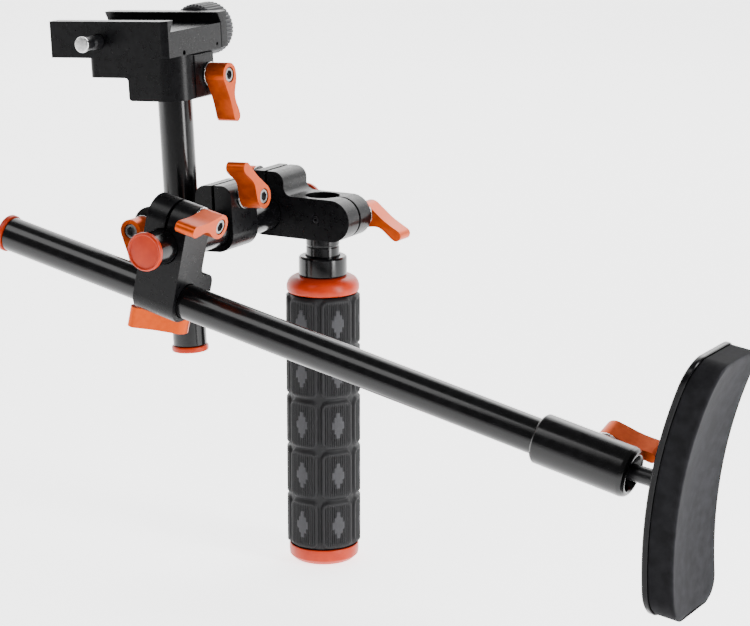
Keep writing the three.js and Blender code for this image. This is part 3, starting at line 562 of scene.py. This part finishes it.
mast_up = np.array(joints["mast_height"]["axis"])
mast_out = np.cross(ACROSS, mast_up)
chest_out = np.array(joints["chest_rod_reach"]["axis"])
chest_up = np.cross(chest_out, ACROSS)
chest_origin = np.array(joints["chest_rod_tilt"]["pos_m"]) - clamp_spacing * chest_up
mast_origin = np.array(joints["plate_turn"]["pos_m"])
clamp_places = {
    "grip_clamp": axes(joints["cross_rod_turn"]["pos_m"], (1, 0, 0), (0, 1, 0), (0, 0, 1)),
    "mast_clamp": axes(joints["mast_tilt"]["pos_m"], -mast_out, -ACROSS, mast_up),
    "rod_clamp": axes(chest_origin, chest_up, chest_out, ACROSS),
}
set_screw = bored(turned("set_screw", [
    (0, 0), (0.0015, 0), (0.0015, 0.0020), (0, 0.0020),
], axes((set_screw_x, -clamp_half, arm_middle), (0, 0, 1), (1, 0, 0), (0, 1, 0)), soft=0.0002, steps=32), [
    drill(0.0008, -0.001, 0.0012, set_screw_x, -clamp_half, arm_middle, "y", sides=6),
], 0)
for clamp, place in clamp_places.items():
    placed(f"{clamp}_casting", clamp_mesh, place, satin_black, f"{clamp}_body", 50, True)
    placed(f"{clamp}_grub", set_screw, place, black_oxide, f"{clamp}_set_screw")

# ---------- pinch levers ----------
# Eight alike: a wavy orange anodised alloy wing over a thin bright washer, held by a bright socket
# screw whose head is sunk in the hub. Each turns about its own screw to close a saw cut.
orange_metal = finish("orange_anodising", (0.43, 0.050, 0.002), (0.49, 0.061, 0.003), 500,
                      (0.30, 0.38), 0.60, 0.000001, shine=0.15)
bright_steel = finish("bright_steel", (0.50, 0.50, 0.50), (0.66, 0.66, 0.65), 700,
                      (0.18, 0.30), 1.0, 0.00001)
dull_steel = finish("dull_steel", (0.20, 0.20, 0.20), (0.30, 0.30, 0.30), 700,
                    (0.26, 0.38), 1.0, 0.000002)
hub, wing_reach, wing_tip, wing_waist, lever_height = 0.00525, 0.019, 0.0025, 0.0022, 0.0092
lever_edge, screw_seat, washer_thickness, screw_hole = 0.0006, 0.0042, 0.0008, 0.0023
shank_radius, screw_head_radius, screw_head_height, socket_radius = 0.0020, 0.0031, 0.0036, 0.0022


def bezier(a, b, c, d, steps=16):
    """A cubic curve through a and d, drawn towards b and c, without its first point."""
    t = np.linspace(0, 1, steps)[1:, None]
    a, b, c, d = (np.array(p, float) for p in (a, b, c, d))
    return (1 - t) ** 3 * a + 3 * t * (1 - t) ** 2 * b + 3 * t**2 * (1 - t) * c + t**3 * d


def wing_outline():
    """The lever seen along its screw: a round hub, a dipped upper edge, a round tip, a full belly."""
    lean, low = math.radians(15), -wing_waist / 2
    top = (hub * math.sin(lean), hub * math.cos(lean))
    foot = (hub * 1.2, -hub * 0.82)
    return np.concatenate([
        [top],
        bezier(top, (hub * 1.25, hub * 0.80), (wing_reach * 0.38, -wing_waist * 0.05),
               (wing_reach * 0.66, wing_waist * 0.22)),
        bezier((wing_reach * 0.66, wing_waist * 0.22), (wing_reach * 0.80, wing_waist * 0.36),
               (wing_reach * 0.88, low + wing_tip), (wing_reach, low + wing_tip)),
        arc(wing_reach, low, wing_tip, 90, -90, 18)[1:],
        bezier((wing_reach, low - wing_tip), (wing_reach * 0.75, low - wing_tip),
               (wing_reach * 0.6, -hub * 0.62), foot),
        arc(0, 0, hub, -75, -285, 44),
    ])


def laid_flat(mesh, lift=0):
    """A mesh with its local y and z exchanged, then lifted along z, its faces still outwards."""
    mesh.transform(Matrix(((1, 0, 0, 0), (0, 0, 1, 0), (0, 1, 0, lift), (0, 0, 0, 1))))
    mesh.flip_normals()
    return mesh


lever_low = 2 * play + washer_thickness
lever_blank = laid_flat(extruded("lever", wing_outline(), 0, lever_height), lever_low)
lever_mesh = bored(lever_blank, [
    drill(screw_hole, 0, far), drill(0.0034, lever_low + lever_height - screw_seat, far),
], lever_edge, 3)

local = axes((0, 0, 0), (1, 0, 0), (0, 1, 0), (0, 0, 1))
washer_mesh = turned("washer", [
    (screw_hole, play), (0.0056, play), (0.0056, play + washer_thickness),
    (screw_hole, play + washer_thickness),
], local, soft=0.00015, steps=64, closed=True)
head_low = lever_low + lever_height - screw_seat + play
head_high = head_low + screw_head_height


def socket_screw(depth):
    """A socket-head screw whose shank reaches depth below the seat, with a hexagon in its head."""
    body = turned("screw", [
        (0, -depth), (0.0016, -depth), (shank_radius, 0.0004 - depth), (shank_radius, head_low),
        (screw_head_radius, head_low), (screw_head_radius, head_high), (0, head_high),
    ], local, soft=0.0003, steps=48)
    return bored(body, [drill(socket_radius, head_high - 0.0028, head_high + 0.001, sides=6)], 0)


screw_depths = {"plate_clamp": 0.0255, "collar": 0.005}
for clamp in clamp_places:
    screw_depths[f"{clamp}_a"] = 2 * ear_half - skin - play
    screw_depths[f"{clamp}_b"] = 2 * clamp_half - skin - play
for name in ("grip_clamp_a", "grip_clamp_b", "mast_clamp_a", "mast_clamp_b", "rod_clamp_a", "rod_clamp_b",
             "plate_clamp", "collar"):
    joint = joints[f"{name}_lever_turn"]
    seat, out = np.array(joint["pos_m"]), np.array(joint["axis"])
    # the wing's own direction, from the tip of the CAD lever, which lies a little to one side
    vertices = np.array([v.co for v in frame["nodes"][f"{name}_lever"].data.vertices])
    away = (vertices - seat) - np.outer((vertices - seat) @ out, out)
    tip = away[np.argsort(np.linalg.norm(away, axis=1))[-6:]].mean(0)
    tip = tip / np.linalg.norm(tip)
    tip_angle = math.atan2(-wing_waist / 2, wing_reach + wing_tip * 0.5)
    wing = math.cos(tip_angle) * tip - math.sin(tip_angle) * np.cross(out, tip)
    place = axes(seat, wing, np.cross(out, wing), out)
    placed(f"{name}_wing", lever_mesh, place, orange_metal, f"{name}_lever", 50, True)
    placed(f"{name}_plate_washer", washer_mesh, place, bright_steel, f"{name}_washer")
    placed(f"{name}_socket_screw", socket_screw(screw_depths[name]), place, dull_steel, f"{name}_screw")

# ---------- mast ----------
# A 15 mm black anodised tube that slides and turns in its clamp, with an orange cap below. The
# plate clamp sits on its top end.
mast_top, mast_bottom = 0.071, -0.0545
mast_axis = axes(mast_origin, mast_out, ACROSS, mast_up)
fit(show("mast_tube", rod_tube("mast_tube", mast_bottom, mast_top, mast_axis), gloss_black), "mast_rod")
mast_end = axes(mast_origin + mast_bottom * mast_up, ACROSS, mast_out, -mast_up)
fit(show("mast_end_cap", rod_cap("mast_end_cap", mast_end), orange_plastic), "mast_cap")

# ---------- plate clamp and dovetail receiver ----------
# A stepped clamp block closes on the mast's top. On it two sunk screws hold a receiver with an
# undercut front wall, and a bar behind slides to close the dovetail on a camera plate.
block_low, block_step, block_top = 0.0553, 0.0653, 0.075
block_left, block_right, block_step_x = -0.037, 0.0115, -0.0165
block_front, block_back, block_round, block_nose = -0.012, 0.016, 0.003, 0.011
sunk_screws, small_edge, past = (-0.031, -0.021), 0.0003, 0.001


def clamp_block():
    """The block: its stepped side outline carried across, cut to its plan with a round front."""
    side = eased([
        (block_left, block_top), (block_left, block_step), (block_step_x, block_step),
        (block_step_x, block_low), (block_right, block_low), (block_right, block_top),
    ], 0.0016, closed=True)
    plan = np.concatenate([
        [(block_left, 0.012)], arc(block_left + block_round, -0.008, block_round, 180, 270),
        [(0.0, -block_nose)], arc(0, 0, block_nose, -90, 0, 20)[1:],
        [(block_right, 0.0), (block_right, 0.015)],
        arc(block_left + block_round, 0.012, block_round, 90, 179),
    ])
    whole = extruded("block", side, block_front, block_back)
    around = laid_flat(extruded("plan", plan, block_low - past, block_top + past))
    return bored(whole, [around], 0, how="INTERSECT")


block_mesh = bored(clamp_block(), [
    drill(bore, 0, mast_top + play),
    cube(-saw_cut / 2, saw_cut / 2, 0, far, block_low - past, mast_top + play),
    drill(pinch_hole, block_step_x + skin, far, y=0.011, z=0.0648, along="x"),
    *(drill(screw_hole, block_step - past, block_top + past, x=x) for x in sunk_screws),
], small_edge)
placed("plate_clamp_block", block_mesh, mast_axis, satin_black, "plate_clamp_body", 50, True)

base_left, base_right, base_front, base_low = -0.048, 0.012, -0.0225, 0.0753
base_back, base_floor, base_top, wall_back = 0.0214, 0.0864, 0.0912, -0.0183
end_bevel, undercut, pin_hole, spindle_hole, sunk_seat = 0.0024, 0.0024, 0.0034, 0.0028, 0.0037


def bar_along(name, section):
    """A section in local y and z, carried along x over the receiver's whole length."""
    mesh = extruded(name, np.array(section, float), base_left, base_right)
    mesh.transform(Matrix(((0, 1, 0, 0), (1, 0, 0, 0), (0, 0, 1, 0), (0, 0, 0, 1))))
    mesh.flip_normals()
    return mesh


bevel_cut = laid_flat(extruded("bevel", np.array([
    (base_right - end_bevel, base_front - past), (base_right - end_bevel, base_front),
    (base_right, base_front + end_bevel), (base_right + past, base_front + end_bevel),
    (base_right + past, base_front - past),
]), base_low - past, base_top + past))
pin_x, pin_z, knob_x, knob_z = -0.023, 0.0825, -0.006, 0.082
receiver = bored(bar_along("receiver", [
    (base_front, base_low), (base_back, base_low), (base_back, base_floor), (wall_back, base_floor),
    (wall_back + undercut, base_top), (base_front, base_top),
]), [
    bevel_cut,
    drill(pin_hole, base_front - past, base_front + 0.0033, x=pin_x, z=pin_z, along="y"),
    drill(spindle_hole, base_back - 0.0093, far, x=knob_x, z=knob_z, along="y"),
    drill(0.0011, base_right - 0.0025, far, y=-0.0085, z=base_low + 0.0012, along="x"),
    drill(0.0008, base_right - 0.0020, far, y=0.0180, z=base_low + 0.0022, along="x"),
    *(drill(sunk_seat, base_floor - 0.0034, base_top, x=x) for x in sunk_screws),
    *(drill(screw_hole, base_low - past, base_floor, x=x) for x in sunk_screws),
], small_edge)
placed("dovetail_receiver", receiver, mast_axis, satin_black, "plate_base", 50, True)

sunk_foot, sunk_head = block_step + 0.0015, base_floor - 0.0031
sunk_top = sunk_head + 0.0024
for number, x in enumerate(sunk_screws, 1):
    at = axes(mast_origin + x * mast_out, mast_out, ACROSS, mast_up)
    screw = bored(turned("sunk", [
        (0, sunk_foot), (shank_radius, sunk_foot), (shank_radius, sunk_head), (0.0034, sunk_head),
        (0.0034, sunk_top), (0, sunk_top),
    ], local, soft=0.0002, steps=40), [drill(0.0015, sunk_head + 0.0009, sunk_head + 0.003, sides=6)], 0)
    placed(f"receiver_screw_{number}", screw, at, black_oxide, f"plate_base_screw_{number}")

jaw = bored(bar_along("jaw", [
    (0.0219, 0.0753), (0.0270, 0.0753), (0.0270, base_top), (0.0193, base_top), (0.0219, base_floor + play),
]), [drill(spindle_hole, 0.0210, far, x=knob_x, z=knob_z, along="y")], small_edge)
placed("dovetail_jaw", jaw, mast_axis, satin_black, "plate_jaw", 50, True)

# ---------- clamping knob ----------
# A black moulded knob behind the jaw, ribbed round its rim for the fingers, with a raised rim on its
# front edge. It turns a steel spindle that draws the jaw in.
knob_radius, knob_length, knob_ribs, knob_rib = 0.0118, 0.0155, 40, 0.0006
knob_plastic = finish("ribbed_knob_moulding", (0.007, 0.007, 0.009), (0.013, 0.013, 0.016), 380,
                      (0.34, 0.46), 0.0, 0.000006, shine=0.25)
knob_line_at, knob_face = mast_origin + knob_x * mast_out + knob_z * mast_up, 0.0273
knob_place = axes(knob_line_at + knob_face * ACROSS, mast_up, mast_out, ACROSS)


def knob_skin(angle, line):
    """The knob's radius at each angle: the profile's, less a raised cosine between ribs on the rim."""
    radius = line[:, 0][None, :] * np.ones_like(angle)
    on_rim = np.clip((radius - 0.0108) / 0.0008, 0, 1)
    dip = knob_rib * on_rim * (0.5 - 0.5 * np.cos(knob_ribs * angle)) ** 1.5
    return radius - dip


knob_line = eased([
    (0, 0.0118), (0.0028, 0.0118), (0.0028, 0.0), (0.0105, 0.0), (0.0112, 0.0004), (knob_radius, 0.0012),
    (knob_radius, knob_length - 0.0012), (0.0112, knob_length), (0.0095, knob_length),
    (0.0088, knob_length - 0.0008), (0, knob_length - 0.0008),
], 0.0003)
knob_angle = np.linspace(0, 2 * math.pi, 480, endpoint=False)[:, None]
knob_r = knob_skin(knob_angle, knob_line)
knob_grid = np.stack([
    knob_r * np.cos(knob_angle), knob_r * np.sin(knob_angle),
    np.broadcast_to(knob_line[:, 1], knob_r.shape),
], -1)
knob_mesh = surface("ribbed_knob", put(knob_grid, knob_place), round_u=True)
fit(show("ribbed_knob", knob_mesh, knob_plastic), "knob")
spindle = turned("knob_screw_spindle", [
    (0, 0.0124), (0.0020, 0.0124), (0.0025, 0.0130), (0.0025, 0.0388), (0, 0.0388),
], axes(knob_line_at, mast_up, mast_out, ACROSS), soft=0.0002, steps=48)
fit(show("knob_screw_spindle", spindle, bright_steel), "knob_spindle")

# ---------- safety pin ----------
# A sprung plunger through the front wall that stops a camera plate from sliding out: a blackened
# steel shank with a waist, and a bright turned head to pull.
pin_place = axes(mast_origin + pin_x * mast_out + base_front * ACROSS + pin_z * mast_up,
                 mast_out, mast_up, -ACROSS)
pin = turned("plunger_shank", [
    (0, -0.003), (0.0031, -0.003), (0.0031, 0.0047), (0.0025, 0.0052), (0.0025, 0.0064),
    (0.0031, 0.0069), (0.0031, 0.0106), (0, 0.0106),
], pin_place, soft=0.0003, steps=64)
fit(show("plunger_shank", pin, black_oxide), "safety_pin")
pin_head = turned("plunger_head", [
    (0, 0.0109), (0.0031, 0.0109), (0.0035, 0.0112), (0.0035, 0.0121), (0.0032, 0.0125), (0, 0.0125),
], pin_place, soft=0.0002, steps=64)
fit(show("plunger_head", pin_head, bright_steel), "safety_pin_head")

# ---------- chest rod and its collar ----------
# The long black tube that runs back to the chest, with an orange cap in front. Its rear end is
# pressed into a turned collar that holds the pad's ball and is pinched by one lever.
rod_start, rod_end = -0.0825, 0.196
chest_axis = axes(chest_origin, ACROSS, chest_up, chest_out)
fit(show("chest_tube", rod_tube("chest_tube", rod_start, rod_end, chest_axis), gloss_black), "chest_rod")
chest_end = axes(chest_origin + rod_start * chest_out, chest_up, ACROSS, -chest_out)
fit(show("chest_end_cap", rod_cap("chest_end_cap", chest_end), orange_plastic), "chest_rod_cap")

collar_low, collar_high, collar_radius, collar_flat = 0.1813, 0.223, 0.0104, 0.0008
ball_at, socket_hollow, collar_screw_at = 0.214, 0.0074, 0.2056
socket = np.linspace(math.radians(178), math.radians(54), 24)
socket_line = np.stack([socket_hollow * np.sin(socket), ball_at + socket_hollow * np.cos(socket)], 1)
collar_line = [
    (0, rod_end + play), (0.0078, rod_end + play), (0.0078, collar_low), (0.0096, collar_low),
    (collar_radius, collar_low + 0.0010), (collar_radius, collar_high - 0.0026),
    (0.0100, collar_high - 0.0011),
    (0.0091, collar_high - 0.0002), (0.0079, collar_high), (0.0075, collar_high - 0.0004),
    *socket_line[::-1], (0, ball_at - socket_hollow),
]
collar_turn = math.radians(20)
collar_screw = axes(
    chest_origin + collar_screw_at * chest_out, chest_out,
    -math.sin(collar_turn) * ACROSS + math.cos(collar_turn) * chest_up,
    math.cos(collar_turn) * ACROSS + math.sin(collar_turn) * chest_up,
)
flat = moved(cube(-0.007, 0.007, -0.011, 0.011, collar_radius - collar_flat, 0.013), "flat", collar_screw)
hole = moved(drill(pinch_hole, 0, 0.013), "hole", collar_screw)
collar_blank = turned("turned_collar", collar_line, chest_axis, soft=0.00035, steps=128)
collar = bored(collar_blank, [flat, hole], 0.0002)
fit(show("turned_collar", collar, gloss_black, 32, True), "ball_collar")

# ---------- ball stem ----------
# A blackened steel ball on a short stem with a flanged foot. The ball sits in the collar's socket,
# so that the pad tips and turns about the ball's middle.
ball_centre = np.array(joints["pad_turn"]["pos_m"])
pad_out = np.array(joints["pad_turn"]["axis"])
pad_up = np.cross(pad_out, ACROSS)
stem_place = axes(ball_centre, ACROSS, pad_up, pad_out)
ball_radius, stem_radius, stem_end, foot_radius, foot_depth = 0.0068, 0.0035, 0.0237, 0.0065, 0.0025
pad_screw_hole, pad_screw_depth = 0.0026, 0.008
ball = np.linspace(math.pi, math.asin(stem_radius / ball_radius), 28)
ball_line = np.stack([ball_radius * np.sin(ball), ball_radius * np.cos(ball)], 1)
ball_line[0, 0] = 0
stem_line = [
    *ball_line, (stem_radius, 0.0072), (stem_radius, stem_end - foot_depth),
    (0.0060, stem_end - foot_depth), (foot_radius, stem_end - 0.0020), (foot_radius, stem_end),
    (pad_screw_hole, stem_end), (pad_screw_hole, stem_end - pad_screw_depth),
    (0, stem_end - pad_screw_depth),
]
stem = turned("ball_and_stem", stem_line, stem_place, soft=0.0003, steps=96)
fit(show("ball_and_stem", stem, black_oxide, 45), "ball_stem")

# ---------- chest pad ----------
# A bent plate of glossy black plastic screwed to the stem's foot, with a thick closed-cell foam
# block glued to its hollow side. The foam's front is dished across its width, and the faces turned
# to the front are given a lighter copy of the foam than its sides.
pad_reach, pad_rise, bend = 0.024, 0.0045, 0.205
pad_half_height, pad_half_width, pad_round = 0.0535, 0.0225, 0.011
plate_thickness, foam_thickness, foam_inset, dish_depth = 0.0026, 0.0104, 0.0006, 0.0016
panel = axes(ball_centre + pad_reach * pad_out + pad_rise * pad_up, pad_out, ACROSS, pad_up)


def pad_outline(inset, steps):
    """A rounded rectangle across (y, z), drawn in from the pad's own edge."""
    w, h, r = pad_half_width - inset, pad_half_height - inset, pad_round - inset
    corners = [(w - r, r - h, -90), (w - r, h - r, 0), (r - w, h - r, 90), (r - w, r - h, 180)]
    loop = np.concatenate([arc(x, z, r, start, start + 90, 14) for x, z, start in corners])
    loop = np.vstack([loop, loop[:1]])
    run = np.concatenate([[0], np.cumsum(np.linalg.norm(np.diff(loop, axis=0), axis=1))])
    even = np.linspace(0, run[-1], steps, endpoint=False)
    return np.stack([np.interp(even, run, loop[:, i]) for i in (0, 1)], 1)


def bent_block(rings, steps):
    """A slab bent about a line across the wearer's side.

    Each ring is (inset, share, depth): the outline drawn in by inset, shrunk to share, at that depth
    from the back. A point at height z and depth d has x = bend - sqrt((bend - d)^2 - z^2).
    """
    grid = []
    for inset, share, depth in rings:
        loop = pad_outline(inset, steps) * share
        d = depth(loop[:, 0]) if callable(depth) else np.full(len(loop), depth)
        x = bend - np.sqrt((bend - d) ** 2 - loop[:, 1] ** 2)
        grid.append(np.stack([x, loop[:, 0], loop[:, 1]], 1))
    return np.array(grid)


shares = np.concatenate([[0], np.linspace(0.12, 0.995, 14)])
plate_rings = [
    *((0.0010, s, 0.0) for s in shares), (0.0004, 1, 0.00015), (0.0, 1, 0.0006),
    (0.0, 1, plate_thickness - 0.0004), (0.0003, 1, plate_thickness),
    *((0.0006, s, plate_thickness) for s in shares[::-1]),
]
pad_plate_mesh = surface("pad_back_plate", put(bent_block(plate_rings, 240), panel), round_v=True)
gloss_plastic = finish("gloss_black_moulding", (0.0020, 0.0020, 0.0024), (0.0040, 0.0040, 0.0046), 240,
                       (0.14, 0.22), 0.0, 0.000004, shine=0.15)
fit(show("pad_back_plate", pad_plate_mesh, gloss_plastic), "pad_plate")

foam_back = plate_thickness + play
foam_front = foam_back + foam_thickness


def dished(across):
    """Depth of the foam's front: full at its sides, hollowed by a parabola dish_depth deep."""
    return foam_front - dish_depth * (1 - (across / pad_half_width) ** 2)


foam_rings = [
    *((foam_inset, s, foam_back) for s in shares), (foam_inset, 1, foam_back + 0.0003),
    *((foam_inset, 1, foam_back + foam_thickness * t) for t in np.linspace(0.08, 0.86, 12)),
    (foam_inset + 0.00015, 1, lambda y: dished(y) - 0.0007),
    (foam_inset + 0.0006, 1, lambda y: dished(y) - 0.0002),
    *((foam_inset + 0.0010, s, dished) for s in np.concatenate([[0], np.linspace(0.06, 1, 30)])[::-1]),
]
foam_mesh = surface("pad_foam_block", put(bent_block(foam_rings, 300), panel), round_v=True)


def foam_finish(name, dark, light):
    """Closed-cell foam: a cloudy grey over a finer speckle, both raised a little."""
    material = finish(name, dark, light, 210, (0.85, 0.95), 0.0, 0.00010, detail=9.0, shine=0.08)
    material.node_tree.nodes["Principled BSDF"].inputs["Sheen Weight"].default_value = 0.02
    return material


cut_foam = foam_finish("closed_cell_foam", (0.0050, 0.0050, 0.0058), (0.0110, 0.0110, 0.0125))
front_foam = foam_finish("lighter_front_foam", (0.009, 0.009, 0.0102), (0.018, 0.018, 0.0205))
foam = show("pad_foam_block", foam_mesh, cut_foam, 50)
# the faces turned towards the front take the lighter copy of the foam, the rest the darker one
foam_mesh.materials.append(front_foam)
facing = np.empty(len(foam_mesh.polygons) * 3)
foam_mesh.polygons.foreach_get("normal", facing)
foam_mesh.polygons.foreach_set("material_index", (facing.reshape(-1, 3) @ pad_out > 0.75).astype(np.int32))
fit(foam, "pad_foam")

screw_place = axes(ball_centre + pad_reach * pad_out, ACROSS, pad_up, pad_out)
pad_screw = turned("pad_fixing_screw", [
    (0, -0.0075), (0.0019, -0.0075), (0.0023, -0.0070), (0.0023, 0.0029), (0.0045, 0.0029),
    (0.0045, 0.0044), (0.0036, 0.0052), (0, 0.0052),
], screw_place, soft=0.0003, steps=48)
fit(show("pad_fixing_screw", pad_screw, bright_steel), "pad_screw")
